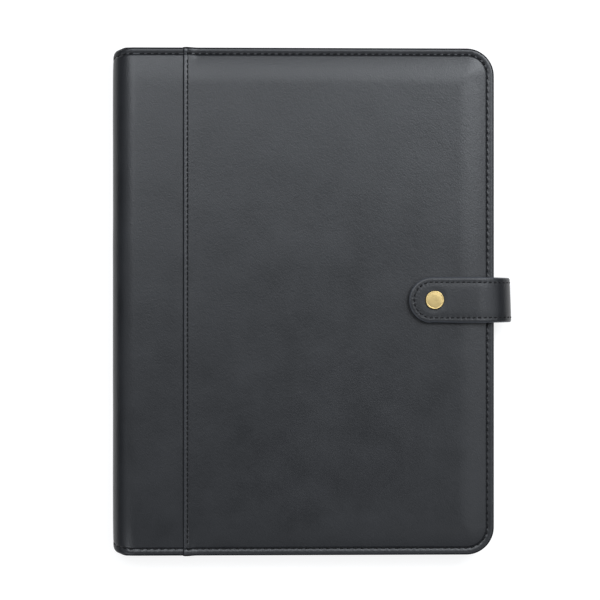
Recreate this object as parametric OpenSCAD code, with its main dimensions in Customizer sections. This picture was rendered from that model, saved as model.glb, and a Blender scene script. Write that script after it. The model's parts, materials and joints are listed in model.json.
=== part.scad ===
// Padded leather cover for an A4 notebook pad, closed by a strap and press stud.
// It lies on its back cover: +Z is up out of the front cover, +Y is the head of the
// page and +X is the fore edge. The origin is the middle of the cover's resting face.

/* [Cover] */
// Closed width, from the outside of the spine to the fore edge
cover_w = 248.5; // [240:0.5:255]
// Height of the cover
cover_h = 330; // [325:1:340]
// Thickness of the closed cover
cover_t = 25; // [24.5:0.5:26]
// Radius of the two fore-edge corners
corner_r = 18; // [16:1:25]
// Width of the spine wrap on each cover, from the outside of the spine to its seam
wrap_w = 46; // [40:0.5:55]
// Width of the flat sewn seam round the edge
seam_w = 7; // [6:0.5:8]
// Distance of the stitches from the edge
stitch_inset = 4.4; // [4:0.1:5]

/* [Layers] */
// Outer leather
leather_t = 1.2; // [1:0.1:1.3]
// Foam padding under the outer leather
foam_t = 1.2; // [1:0.1:1.3]
// Stiffening board
board_t = 1.6; // [1.4:0.1:1.8]
// Inside lining, pockets and pad sleeve
lining_t = 1.0; // [0.8:0.1:1.0]
// Leather of one card slot
slot_t = 0.8; // [0.6:0.1:0.8]

/* [Strap] */
// Width of the strap
strap_w = 29.6; // [26:0.2:32]
// How far the strap stands out past the fore edge
strap_reach = 12.8; // [11:0.1:13]
// Distance of the strap's round tip from the fore edge
strap_overlap = 56; // [50:1:60]
// Height of the strap's centre line above the middle of the cover
strap_y = 1; // [-5:0.5:5]
// Thickness of each of the strap's two leathers
strap_leather_t = 1.2; // [1:0.1:1.3]

/* [Press stud] */
// Diameter of the cap
cap_d = 12.2; // [12:0.1:13]
// Distance from the strap's tip to the middle of the cap
cap_from_tip = 16.6; // [15:0.1:18]

/* [Pad] */
// Width of the pad
pad_w = 210; // [205:1:211]
// Length of the pad
pad_l = 297; // [290:1:298]
// Thickness of its pages
pages_t = 6.5; // [3:0.5:7]
// Bore of the pen loop
pen_bore_d = 10; // [8:0.5:10]
// Width of the pen loop along the spine
pen_loop_w = 26; // [20:1:40]

/* [Hidden] */
$fn = 96;

eps = 0.01;
fore_x = cover_w / 2;
head_y = cover_h / 2;

// Depths below the outer face of either cover.
foam_z = leather_t;
board_z = foam_z + foam_t;
lining_z = board_z + board_t;
inside_z = lining_z + lining_t;
flange_z = lining_z - leather_t;

// The spine is half round, and bends along two lines at 45 degrees.
spine_r = cover_t / 2 - leather_t;
spine_x = spine_r - fore_x;
flex_gap = 1;
flex_low = 225;
flex_high = 135;
spine_lining_r = spine_r - (lining_z - leather_t);
seam_x = wrap_w - fore_x;
seam_lap = 8;
seam_stitch_inset = 2.8;
seam_thread_end = 1;

// Foam and board stop just inside the outer leather's walls.
fill_inset = seam_w + leather_t + 0.1;
board_from_spine = 2;

// Stitching is drawn as a plain raised line.
thread_w = 0.7;
thread_h = 0.3;

// The pad and its sleeve.
pad_x = -101;
pad_y = -150;
pad_play = 0.2;
pad_board_t = 1;
pad_board_z = inside_z + pad_play;
sleeve_in_z = pad_board_z + pad_board_t + pad_play;
sleeve_z = sleeve_in_z + lining_t;
sleeve_top = 110;
sleeve_x = -106;
sleeve_hollow = [pad_x - 1, pad_y - 1, pad_x + pad_w + 1];
pages_z = sleeve_z + pad_play;
pages_joint_y = 118;
binding_t = 0.4;
binding_w = 20;

// The pen loop lies in the gutter beside the pad.
pen_wall = 1;
pen_r = pen_bore_d / 2;
pen_x = -111.9;
pen_y = 30;
pen_z = inside_z + 0.1 + pen_r + pen_wall;

// Pockets on the inside of the front cover.
pocket_x = -80;
slot_x = [10, 106];
slot_y = 15;
slot_top = 50;
slot_step = 14;
note_y = [-140, -20];
note_notch_r = 14;

// The strap leaves the back seam, turns round the fore edge on two arcs that meet
// where it stands out furthest, and lies over the front cover.
strap_t = 2 * strap_leather_t;
strap_mid_z = lining_z + lining_t / 2;
strap_foot_x = fore_x + 0.5;
strap_root_x = 12;
strap_play = 0.1;
bend_gap = 0.3;
low_arc_r = fore_x + strap_reach - strap_leather_t - strap_foot_x;
tongue_z = cover_t + 2.8;
high_arc_r = tongue_z + strap_leather_t - strap_mid_z - low_arc_r;
arc_z = strap_mid_z + low_arc_r;
high_arc_x = strap_foot_x + low_arc_r - high_arc_r;
tongue_gap = 0.2;
flap_gap_deg = 0.8;
tongue_tip_x = fore_x - strap_overlap;
strap_stitch_inset = 3.2;
strap_thread_w = 0.6;

// The press stud.
snap_x = tongue_tip_x + cap_from_tip;
shank_r = 1.6;
shank_play = 0.1;
rivet_head_r = 4.5;
rivet_head_t = 0.6;
stud_flange_r = 5;
stud_flange_t = 0.6;
stud_neck_r = 2.3;
stud_head_r = 2.8;
stud_head_t = 0.8;
stud_h = 1.9;
socket_r = 5.4;
socket_bore_r = 3.2;
socket_low_z = cover_t + 0.9;
socket_roof_t = 0.6;
socket_lip_t = 0.3;
spring_wire_r = 0.3;
spring_play = 0.05;
spring_r = socket_bore_r + 0.35;
cap_h = 1.3;
cap_edge_r = 0.5;

black = [0.13, 0.13, 0.14];
inner_black = [0.10, 0.10, 0.11];
brass = [0.80, 0.68, 0.42];

// ---- Shapes that several parts share ----

// Outline of a cover from x0 to the fore edge, drawn in by inset.
module cover_outline(inset = 0, x0 = spine_x) {
  r = corner_r - inset;
  x1 = fore_x - inset;
  y1 = head_y - inset;
  translate([x0, -y1]) square([x1 - r - x0, 2 * y1]);
  translate([x1 - r - eps, r - y1]) square([r + eps, 2 * (y1 - r)]);
  for (s = [-1, 1]) translate([x1 - r, s * (y1 - r)]) circle(r);
}

// A slab of a cover outline between two depths.
module cover_slab(z0, z1, inset = 0, x0 = spine_x) {
  translate([0, 0, z0]) linear_extrude(z1 - z0) cover_outline(inset, x0);
}

// Turns a shape drawn by depth below the outer face over onto the front cover.
module on_front() {
  translate([0, 0, cover_t]) mirror([0, 0, 1]) children();
}

// Part of a ring from angle a0 to a1, at most 180 degrees.
module sector(r_in, r_out, a0, a1) {
  far = 3 * r_out;
  steps = [for (k = [0:4]) a0 + (a1 - a0) * k / 4];
  intersection() {
    difference() {
      circle(r_out);
      circle(r_in);
    }
    polygon(concat([[0, 0]], [for (a = steps) far * [cos(a), sin(a)]]));
  }
}

// Draws a shape in the XZ plane and extends it along Y about the middle.
module along_y(length) {
  rotate([90, 0, 0]) linear_extrude(length, center = true) children();
}

// A curved layer of the spine between two angles.
module spine_layer(r_in, r_out, a0, a1, length = cover_h) {
  translate([spine_x, 0, cover_t / 2]) along_y(length) sector(r_in, r_out, a0, a1);
}

// ---- One cover, drawn by depth from its outer face ----

// Outer leather: a shallow tray whose raised field stands over the padding.
module outer_panel() {
  difference() {
    union() {
      cover_slab(0, lining_z, seam_w, seam_x);
      cover_slab(flange_z, lining_z, 0, seam_x);
    }
    cover_slab(leather_t, lining_z + eps, seam_w + leather_t, seam_x - eps);
  }
}

// The spine wrap's part on a cover, with its strip under the outer panel's edge.
module wrap_side() {
  w = seam_x - spine_x;
  y_field = head_y - seam_w;
  y_in = y_field - leather_t;
  translate([spine_x, -y_field, leather_t]) cube([w, 2 * y_field, leather_t]);
  translate([seam_x - eps, -y_in + eps, leather_t])
    cube([seam_lap, 2 * y_in - 2 * eps, leather_t]);
  for (s = [0, 1]) mirror([0, s, 0]) {
    translate([spine_x, y_in, leather_t]) cube([w, leather_t, lining_z - leather_t]);
    translate([spine_x, y_in, flange_z]) cube([w, head_y - y_in, leather_t]);
  }
  spine_layer(spine_r - leather_t, spine_r, flex_low + flex_gap, 270);
}

module foam_pad() {
  cover_slab(foam_z, board_z, fill_inset, seam_x + seam_lap);
}

module stiff_board() {
  cover_slab(board_z, lining_z, fill_inset, spine_x + board_from_spine);
}

module lining_side() {
  cover_slab(lining_z, inside_z);
  spine_layer(
    spine_lining_r - lining_t, spine_lining_r, flex_low + flex_gap, 270
  );
}

// Stitch line round the three sewn edges.
module edge_thread_line() {
  translate([0, 0, flange_z - thread_h]) linear_extrude(thread_h) difference() {
    cover_outline(stitch_inset - thread_w / 2);
    cover_outline(stitch_inset + thread_w / 2, spine_x - eps);
  }
}

// Stitch line that holds the outer panel's edge down on the wrap.
module seam_thread_line() {
  y1 = head_y - seam_w - seam_thread_end;
  translate([seam_x + seam_stitch_inset, -y1, -thread_h])
    cube([thread_w, 2 * y1, thread_h]);
}

// ---- Back cover ----

// The back seam line lies in a groove, so that the cover rests on its field.
module back_panel() {
  y1 = head_y - seam_w - seam_thread_end;
  color(black) difference() {
    outer_panel();
    translate([seam_x + seam_stitch_inset, -y1, -eps])
      cube([thread_w, 2 * y1, thread_h + eps]);
  }
}

module back_foam() color("dimgray") foam_pad();

module back_board() color("tan") stiff_board();

module back_lining() {
  color(inner_black) difference() {
    lining_side();
    translate([fore_x - strap_root_x, strap_y - strap_w / 2 - strap_play, lining_z - eps])
      cube([strap_root_x + 1, strap_w + 2 * strap_play, lining_t + 2 * eps]);
  }
}

module spine_wrap_back() color(black) wrap_side();

// Pocket for the pad's backing board, sewn on three sides and open at the head.
module pad_sleeve() {
  h = sleeve_hollow;
  color(inner_black) intersection() {
    difference() {
      union() {
        cover_slab(inside_z, inside_z + lining_t, 0, sleeve_x);
        translate([h.x - 1, h.y - 1, inside_z])
          cube([h.z - h.x + 2, cover_h, sleeve_z - inside_z]);
      }
      translate([h.x, h.y, inside_z - eps])
        cube([h.z - h.x, cover_h, sleeve_in_z - inside_z + eps]);
    }
    translate([-cover_w, -cover_h, 0]) cube([2 * cover_w, cover_h + sleeve_top, cover_t]);
  }
}

// A tube of leather with a tail that is sewn down beside the sleeve.
module pen_loop() {
  color(inner_black) translate([0, pen_y, 0]) difference() {
    union() {
      translate([pen_x, 0, pen_z]) along_y(pen_loop_w) circle(pen_r + pen_wall);
      translate([pen_x, -pen_loop_w / 2, inside_z])
        cube([sleeve_x - pen_x, pen_loop_w, pen_wall]);
    }
    translate([pen_x, 0, pen_z]) along_y(pen_loop_w + 1) circle(pen_r);
  }
}

module strap_root() {
  x0 = fore_x - strap_root_x + strap_play;
  color(black) translate([x0, strap_y - strap_w / 2, lining_z])
    cube([strap_foot_x - bend_gap - x0, strap_w, lining_t]);
}

module back_edge_thread() color("black") edge_thread_line();

module back_seam_thread() {
  color("black") translate([0, 0, thread_h]) seam_thread_line();
}

// ---- Spine ----

module spine_wrap_middle() {
  color(black) spine_layer(
    spine_r - leather_t, spine_r, flex_high + flex_gap, flex_low - flex_gap
  );
}

module spine_padding() {
  color("dimgray") spine_layer(
    spine_lining_r, spine_r - leather_t,
    flex_high + 4 * flex_gap, flex_low - 4 * flex_gap, cover_h - 2 * seam_w
  );
}

module spine_lining() {
  color(inner_black) spine_layer(
    spine_lining_r - lining_t, spine_lining_r,
    flex_high + flex_gap, flex_low - flex_gap
  );
}

module spine_edge_thread() {
  color("black") for (s = [-1, 1]) translate([0, s * (head_y - stitch_inset), 0])
    spine_layer(
      spine_r, spine_r + thread_h / 2,
      flex_high + 2 * flex_gap, flex_low - 2 * flex_gap, thread_w
    );
}

// ---- Front cover ----

// Hole for the shank of the rivet that holds the stud.
module stud_hole(r = shank_r + shank_play) {
  translate([snap_x, strap_y, -1]) cylinder(r = r, h = inside_z + 2);
}

module front_panel() {
  color(black) on_front() difference() {
    outer_panel();
    stud_hole();
  }
}

module front_foam() {
  color("dimgray") on_front() difference() {
    foam_pad();
    stud_hole();
  }
}

module front_board() {
  color("tan") on_front() difference() {
    stiff_board();
    stud_hole();
    translate([snap_x, strap_y, lining_z - rivet_head_t])
      cylinder(r = rivet_head_r + shank_play, h = 1);
  }
}

module front_lining() color(inner_black) on_front() lining_side();

module spine_wrap_front() color(black) on_front() wrap_side();

module front_edge_thread() color("black") on_front() edge_thread_line();

module front_seam_thread() color("black") on_front() seam_thread_line();

// Full-height pocket that opens towards the spine.
module document_pocket() {
  color(inner_black) on_front()
    cover_slab(inside_z, inside_z + lining_t, 0, pocket_x);
}

// Card slots share one foot, and each is shorter than the one behind it.
module card_slot(level) {
  h = slot_top + (2 - level) * slot_step;
  color(inner_black) on_front()
    translate([slot_x[0], slot_y, inside_z + lining_t + level * slot_t])
      cube([slot_x[1] - slot_x[0], h, slot_t]);
}

// Larger pocket below the card slots, with a thumb notch in its top edge.
module note_pocket() {
  z = inside_z + lining_t;
  color(inner_black) on_front() difference() {
    translate([slot_x[0], note_y[0], z])
      cube([slot_x[1] - slot_x[0], note_y[1] - note_y[0], lining_t]);
    translate([(slot_x[0] + slot_x[1]) / 2, note_y[1], z - eps])
      cylinder(r = note_notch_r, h = lining_t + 2 * eps);
  }
}

// Two lines of stitching down the sides of the front slot.
module card_slot_thread() {
  z = inside_z + lining_t + 3 * slot_t;
  color("black") on_front()
    for (x = [slot_x[0] + 2, slot_x[1] - 2 - strap_thread_w])
      translate([x, slot_y + 2, z]) cube([strap_thread_w, slot_top - 4, thread_h]);
}

// Fixed half of the press stud, on the outside of the front cover.
module snap_stud() {
  color(brass) translate([snap_x, strap_y, cover_t]) {
    translate([0, 0, stud_flange_t]) cylinder(r = stud_neck_r, h = stud_h - stud_flange_t);
    translate([0, 0, stud_h - stud_head_t]) cylinder(r = stud_head_r, h = stud_head_t);
  }
}

// The stud's foot, a solid of its own so that the stud's neck stays slim.
module snap_stud_flange() {
  color(brass) translate([snap_x, strap_y, cover_t])
    cylinder(r = stud_flange_r, h = stud_flange_t);
}

// Rivet from inside the cover that holds the stud.
module snap_rivet() {
  color(brass) translate([snap_x, strap_y, cover_t - lining_z]) {
    cylinder(r = rivet_head_r, h = rivet_head_t);
    cylinder(r = shank_r, h = lining_z);
  }
}

// ---- Strap, where it turns round the fore edge ----

// A layer of the strap's turn, offset from its middle line.
module strap_turn(in, out, width) {
  translate([0, strap_y, arc_z]) {
    translate([strap_foot_x, 0, 0]) along_y(width)
      sector(low_arc_r + in, low_arc_r + out, 270, 360);
    translate([high_arc_x, 0, 0]) along_y(width)
      sector(high_arc_r + in, high_arc_r + out, 0, 90 - flap_gap_deg);
  }
}

module strap_bridge_outer() color(black) strap_turn(0, strap_leather_t, strap_w);

module strap_bridge_lining() {
  color(inner_black) strap_turn(-strap_leather_t, 0, strap_w);
}

// Two stitch lines on the outside of the turn's upper arc.
module strap_bridge_thread() {
  color("black") for (s = [-1, 1])
    translate([high_arc_x, strap_y + s * (strap_w / 2 - strap_stitch_inset), arc_z])
      along_y(strap_thread_w)
        sector(
          high_arc_r + strap_leather_t, high_arc_r + strap_leather_t + thread_h / 2,
          20, 88
        );
}

// ---- Strap, over the front cover ----

// The tongue's outline, with a round tip, drawn in by inset.
module tongue_outline(inset = 0) {
  r = strap_w / 2;
  tip = tongue_tip_x + r;
  translate([tip, strap_y]) circle(r - inset);
  translate([tip, strap_y - r + inset])
    square([high_arc_x - tongue_gap - tip, 2 * (r - inset)]);
}

module tongue_layer(z) {
  translate([0, 0, z]) linear_extrude(strap_leather_t) difference() {
    tongue_outline();
    translate([snap_x, strap_y]) circle(shank_r + shank_play);
  }
}

module strap_tongue_outer() color(black) tongue_layer(tongue_z + strap_leather_t);

module strap_tongue_lining() color(inner_black) tongue_layer(tongue_z);

module strap_tongue_thread() {
  in = strap_stitch_inset;
  color("black") translate([0, 0, tongue_z + strap_t]) linear_extrude(thread_h / 2)
    difference() {
      tongue_outline(in - strap_thread_w / 2);
      tongue_outline(in + strap_thread_w / 2);
      translate([high_arc_x - 1, -strap_w]) square([5, 2 * strap_w]);
    }
}

// Domed cap with the shank that runs down to the socket.
module snap_cap() {
  r = cap_d / 2;
  top = cap_h - cap_edge_r;
  color(brass) translate([snap_x, strap_y, tongue_z + strap_t]) {
    rotate_extrude() {
      square([r - cap_edge_r, cap_h]);
      square([r, top]);
      intersection() {
        translate([r - cap_edge_r, top]) circle(cap_edge_r);
        square([r, cap_h]);
      }
    }
    translate([0, 0, -strap_t - socket_roof_t])
      cylinder(r = shank_r, h = strap_t + socket_roof_t + eps);
  }
}

// Cup under the strap that grips the stud.
module snap_socket() {
  h = tongue_z - socket_low_z;
  color(brass) translate([snap_x, strap_y, socket_low_z]) difference() {
    cylinder(r = socket_r, h = h);
    translate([0, 0, -eps]) cylinder(r = socket_bore_r, h = h - socket_roof_t);
    cylinder(r = shank_r + shank_play, h = h + 1);
    translate([0, 0, socket_lip_t])
      cylinder(r = spring_r + spring_wire_r + spring_play, h = 2 * (spring_wire_r + spring_play));
  }
}

// Ring of wire in the socket's groove.
module snap_spring() {
  color("silver")
    translate([snap_x, strap_y, socket_low_z + socket_lip_t + spring_play + spring_wire_r])
      rotate_extrude() translate([spring_r, 0]) circle(spring_wire_r, $fn = 32);
}

// ---- Pad ----

module pad_board() {
  color("tan") translate([pad_x, pad_y, pad_board_z]) cube([pad_w, pad_l, pad_board_t]);
}

// The pages lie over the sleeve, and reach down to the board at the bound head.
module pad_pages() {
  z = pad_board_z + pad_board_t;
  head = pad_y + pad_l;
  color("ivory") {
    translate([pad_x, pad_y, pages_z]) cube([pad_w, pad_l, pages_t]);
    translate([pad_x, pages_joint_y, z])
      cube([pad_w, head - pages_joint_y, pages_z - z + eps]);
  }
}

// Tape over the head of the pages.
module pad_binding() {
  head = pad_y + pad_l;
  color("dimgray") {
    translate([pad_x, head - binding_w, pages_z + pages_t])
      cube([pad_w, binding_w + binding_t, binding_t]);
    translate([pad_x, head, pad_board_z])
      cube([pad_w, binding_t, pages_z + pages_t - pad_board_z + eps]);
  }
}

back_panel();
back_foam();
back_board();
back_lining();
spine_wrap_back();
pad_sleeve();
pen_loop();
strap_root();
back_edge_thread();
back_seam_thread();
spine_wrap_middle();
spine_padding();
spine_lining();
spine_edge_thread();
front_panel();
front_foam();
front_board();
front_lining();
spine_wrap_front();
document_pocket();
card_slot(0);  // card_slot_1
card_slot(1);  // card_slot_2
card_slot(2);  // card_slot_3
note_pocket();
card_slot_thread();
front_edge_thread();
front_seam_thread();
snap_stud();
snap_stud_flange();
snap_rivet();
strap_bridge_outer();
strap_bridge_lining();
strap_bridge_thread();
strap_tongue_outer();
strap_tongue_lining();
strap_tongue_thread();
snap_cap();
snap_socket();
snap_spring();
pad_board();
pad_pages();
pad_binding();
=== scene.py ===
"""Looks of the padded notebook cover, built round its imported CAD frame.

Sizes are in millimetres and are turned into metres when a mesh is made.
"""

import json
import math

import bmesh
import bpy
import numpy as np
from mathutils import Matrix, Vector, noise


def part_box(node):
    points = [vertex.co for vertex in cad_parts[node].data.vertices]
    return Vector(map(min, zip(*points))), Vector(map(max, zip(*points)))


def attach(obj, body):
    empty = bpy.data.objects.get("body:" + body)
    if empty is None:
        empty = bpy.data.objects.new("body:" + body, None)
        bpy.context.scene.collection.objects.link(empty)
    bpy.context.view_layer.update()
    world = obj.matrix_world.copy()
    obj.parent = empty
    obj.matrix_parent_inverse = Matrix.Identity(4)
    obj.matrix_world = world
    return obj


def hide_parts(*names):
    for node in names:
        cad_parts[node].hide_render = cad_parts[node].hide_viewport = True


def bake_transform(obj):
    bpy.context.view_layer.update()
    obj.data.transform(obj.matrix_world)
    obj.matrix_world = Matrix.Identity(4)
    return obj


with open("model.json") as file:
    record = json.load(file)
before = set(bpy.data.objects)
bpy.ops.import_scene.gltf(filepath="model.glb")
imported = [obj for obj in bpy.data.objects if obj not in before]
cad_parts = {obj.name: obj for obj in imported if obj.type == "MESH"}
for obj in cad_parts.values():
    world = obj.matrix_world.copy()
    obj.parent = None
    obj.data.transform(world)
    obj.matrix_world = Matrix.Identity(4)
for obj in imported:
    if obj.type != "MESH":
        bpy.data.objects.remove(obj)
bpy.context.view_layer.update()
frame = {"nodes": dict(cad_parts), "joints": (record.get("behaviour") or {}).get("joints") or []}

MM = 0.001
rng = np.random.default_rng(7)


# ---- Places taken from the frame ----

def box_mm(node):
    """Lowest and highest corner of a CAD node, in millimetres."""
    low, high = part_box(node)
    return np.array(low) / MM, np.array(high) / MM


def joint_mm(name):
    """A hinge's place, in millimetres."""
    joint = next(j for j in frame["joints"] if j["name"] == name)
    return np.array(joint["pos_m"]) / MM


panel_low, panel_high = box_mm("front_panel")
roll_low = box_mm("spine_wrap_middle")[0]
tongue_low, tongue_high = box_mm("strap_tongue_outer")
cap_low, cap_high = box_mm("snap_cap")

SEAM_X = panel_low[0]
FORE_X = panel_high[0]
HEAD_Y = panel_high[1]
TOP_Z = panel_high[2]
CORNER_R = 18.0

UP = {"front": 1.0, "back": -1.0}           # the way each cover faces outward
BODY = {"front": "front", "back": "root"}   # the CAD body each cover belongs to

LEATHER_T = 1.2
LINING_T = 1.0
FLANGE_DROP = 2.5            # from the padded field down to the sewn flange
FLANGE_LOW = TOP_Z - panel_low[2]
BOARD_DEPTH = TOP_Z - box_mm("front_board")[1][2]
STITCH_INSET = 4.5
STITCH_PITCH = 4.5
SEAM_INSET = 2.9
SEAM_PITCH = 3.35
STITCH_LONG = 3.5
SEAM_LONG = 2.5
STITCH_SINK = 0.55           # depth of the valley that the stitches lie in
STITCH_FOLD = 1.25           # width of the valley, towards the edge
SEAM_SINK = 0.40
SEAM_FOLD = 1.1
HEAD_SHIFT = 0.4             # how much closer to the edge the stitches run along the head
THREAD_W = 1.0
SEAM_THREAD_W = 0.75
PAINTED = 0.85               # width of the painted edge, seen from above

MID_Z = TOP_Z / 2
ROLL_R = TOP_Z / 2 - LEATHER_T
ROLL_X = roll_low[0] + ROLL_R
ROLL_EASE = 4.7              # how much wider than high the roll's half section is
ROLL_HINGE_R = ROLL_R - 2    # 2 mm less than the roll's radius
ROLL_LINING_R = 8.5
LINING_JOIN_FRONT = SEAM_X - 1.5    # where the spine's lining meets the flat lining,
LINING_JOIN_BACK = ROLL_X + 7       # under the pocket in front and the sleeve at the back

STRAP_Y = (tongue_low[1] + tongue_high[1]) / 2
STRAP_W = tongue_high[1] - tongue_low[1]
CAP_X = (cap_low[0] + cap_high[0]) / 2


# ---- Small numeric helpers ----

def smooth(t):
    """Smooth step from 0 to 1."""
    t = np.clip(t, 0, 1)
    return t * t * (3 - 2 * t)


def bump_at(x, centre, width):
    """A bell of height 1."""
    return np.exp(-(((x - centre) / width) ** 2))


def wave(x, y, size, seed):
    """Soft noise over a surface, about -1 to 1, with features of the given size."""
    return np.array(
        [noise.noise(Vector((a / size, b / size, seed))) for a, b in zip(x.ravel(), y.ravel())]
    ).reshape(np.shape(x))


def steps(low, high, pitch):
    """Evenly spread values from low to high, about pitch apart."""
    return np.linspace(low, high, max(2, int(round((high - low) / pitch)) + 1))


def unit(vectors):
    """Vectors scaled to a length of 1."""
    return vectors / np.linalg.norm(vectors, axis=-1, keepdims=True)


def length_along(points):
    """Length along a row of points, at each of them."""
    gaps = np.linalg.norm(np.diff(points, axis=0), axis=1)
    return np.concatenate([[0], np.cumsum(gaps)])


# ---- Mesh building ----

class Build:
    """Collects points and faces in millimetres, and makes one mesh object of them."""

    def __init__(self):
        self.points = []
        self.faces = []
        self.slots = []
        self.count = 0

    def add(self, points):
        """Adds an array of points and returns their indices in the same shape."""
        points = np.asarray(points, float)
        flat = points.reshape(-1, 3)
        index = np.arange(self.count, self.count + len(flat))
        self.points.append(flat)
        self.count += len(flat)
        return index.reshape(points.shape[:-1])

    def level(self, points, z):
        """Adds a row of points in X and Y at one height, or at one height each."""
        return self.add(np.column_stack([points, np.broadcast_to(z, len(points))]))

    def quads(self, a, b, slot=0, closed=False, flip=False):
        """Faces between two rows of indices."""
        if closed:
            a, b = np.append(a, a[:1]), np.append(b, b[:1])
        for k in range(len(a) - 1):
            face = (a[k], a[k + 1], b[k + 1], b[k])
            self.faces.append(face[::-1] if flip else face)
            self.slots.append(slot)

    def grid(self, index, slot=0, closed=False, flip=False):
        """Faces over a 2-D array of indices."""
        for k in range(len(index) - 1):
            self.quads(index[k], index[k + 1], slot, closed, flip)

    def face(self, loop, slot=0, flip=False):
        """One face round a loop of indices."""
        loop = tuple(loop)
        self.faces.append(loop[::-1] if flip else loop)
        self.slots.append(slot)

    def tube(self, rings, flip=False):
        """Faces over closed rings, and over the first and the last of them."""
        self.grid(np.array(rings), closed=True)
        self.face(rings[0], flip=not flip)
        self.face(rings[-1], flip=flip)

    def paint(self, is_painted):
        """Gives the second material to the faces whose middle passes the test."""
        points = np.concatenate(self.points)
        first = points[[face[0] for face in self.faces]]
        third = points[[face[2] for face in self.faces]]
        for k in np.flatnonzero(is_painted((first + third) / 2)):
            self.slots[k] = 1

    def make(self, name, *materials, weld=0.0, sharp=35, wear_and_highlight=None):
        """The finished object, smooth shaded apart from edges sharper than the angle.

        The last keyword gives each point how much lighter it is painted, for scuffing and a
        painted highlight: 0 is not at all, 1 and over is fully.
        """
        mesh = bpy.data.meshes.new(name)
        points = np.concatenate(self.points) * MM
        faces = [[int(i) for i in f] for f in self.faces]
        mesh.from_pydata(points.tolist(), [], faces)
        for material in materials:
            mesh.materials.append(material)
        mesh.polygons.foreach_set("material_index", self.slots)
        if wear_and_highlight is not None:
            # A point attribute for how much lighter the leather is painted: scuffing and painted
            # highlight
            worn_and_lit = mesh.attributes.new("wear_and_highlight", "FLOAT", "POINT")
            worn_and_lit.data.foreach_set("value", wear_and_highlight(points / MM))
        obj = bpy.data.objects.new(name, mesh)
        bpy.context.scene.collection.objects.link(obj)
        tidy_mesh(mesh, weld)
        mesh.polygons.foreach_set("use_smooth", [True] * len(mesh.polygons))
        mesh.set_sharp_from_angle(angle=math.radians(sharp))
        return obj


def tidy_mesh(mesh, weld):
    """Joins doubled points, drops faces with no area and turns all faces outward."""
    work = bmesh.new()
    work.from_mesh(mesh)
    if weld:
        bmesh.ops.remove_doubles(work, verts=work.verts, dist=weld * MM)
    bmesh.ops.dissolve_degenerate(work, edges=work.edges, dist=1e-7)
    bmesh.ops.recalc_face_normals(work, faces=work.faces)
    work.to_mesh(mesh)
    work.free()


# ---- Materials ----

class Graph:
    """A node material that ends in one Principled shader."""

    def __init__(self, name, **sockets):
        self.material = bpy.data.materials.new(name)
        self.material.use_nodes = True
        self.tree = self.material.node_tree
        self.shader = self.tree.nodes["Principled BSDF"]
        for socket, value in sockets.items():
            self.shader.inputs[socket.replace("_", " ")].default_value = value

    def node(self, kind, inputs=None, **settings):
        """A node with its settings and inputs; an input is a value or another socket."""
        made = self.tree.nodes.new(kind)
        for key, value in settings.items():
            setattr(made, key, value)
        for key, value in (inputs or {}).items():
            if isinstance(value, bpy.types.NodeSocket):
                self.tree.links.new(value, made.inputs[key])
            else:
                made.inputs[key].default_value = value
        return made

    def place(self, scale=(1, 1, 1)):
        """Position on the object in metres, scaled."""
        coords = self.node("ShaderNodeTexCoord")
        mapping = self.node(
            "ShaderNodeMapping", {"Vector": coords.outputs["Object"], "Scale": scale}
        )
        return mapping.outputs["Vector"]

    def noise(self, size_mm, detail=3.0, rough=0.5, distortion=0.0, scale=(1, 1, 1)):
        """Noise from 0 to 1 with features of a size in millimetres."""
        made = self.node(
            "ShaderNodeTexNoise",
            {"Vector": self.place(scale), "Scale": 1 / (size_mm * MM), "Detail": detail,
             "Roughness": rough, "Distortion": distortion},
        )
        return made.outputs["Fac"]

    def cells(self, size_mm, feature="F1", smoothness=None):
        """Distance inside rounded cells of a size in millimetres."""
        made = self.node(
            "ShaderNodeTexVoronoi",
            {"Vector": self.place(), "Scale": 1 / (size_mm * MM)},
            feature=feature,
        )
        if smoothness is not None:
            made.inputs["Smoothness"].default_value = smoothness
        return made.outputs["Distance"]

    def wave(self, size_mm, way, distortion=0.0):
        """Bands from 0 to 1, across X or Y or at a slant."""
        made = self.node(
            "ShaderNodeTexWave",
            {"Vector": self.place(), "Scale": 1 / (size_mm * MM), "Distortion": distortion},
            bands_direction=way,
        )
        return made.outputs["Fac"]

    def ramp(self, value, out_low, out_high, low=0.3, high=0.7):
        """A value moved from the range low to high to another one, and held there."""
        made = self.node(
            "ShaderNodeMapRange",
            {"Value": value, "From Min": low, "From Max": high,
             "To Min": out_low, "To Max": out_high},
        )
        return made.outputs["Result"]

    def maths(self, operation, a, b=0.0):
        """Two values or sockets put together by an operation."""
        made = self.node("ShaderNodeMath", {0: a, 1: b}, operation=operation)
        return made.outputs[0]

    def blend(self, factor, a, b):
        """Two colours mixed by a factor; the first may be a socket."""
        a = a if isinstance(a, bpy.types.NodeSocket) else (*a, 1)
        made = self.node("ShaderNodeMix", {"Factor": factor, "A": a, "B": (*b, 1)},
                         data_type="RGBA")
        return made.outputs["Result"]

    def bump(self, height, depth_mm, below=None):
        """A bump of a depth in millimetres, on top of another bump."""
        inputs = {"Height": height, "Distance": depth_mm * MM, "Strength": 1.0}
        if below is not None:
            inputs["Normal"] = below
        return self.node("ShaderNodeBump", inputs).outputs["Normal"]

    def finish(self, colour, roughness, normal=None):
        """Links the colour, roughness and bump, and gives the finished material."""
        links = (("Base Color", colour), ("Roughness", roughness), ("Normal", normal))
        for socket, value in links:
            if value is not None:
                self.tree.links.new(value, self.shader.inputs[socket])
        return self.material


WEAR_AND_HIGHLIGHT_GAIN = 3.2                   # how many times lighter the leather is painted where fully scuffed and given a painted highlight


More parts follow.
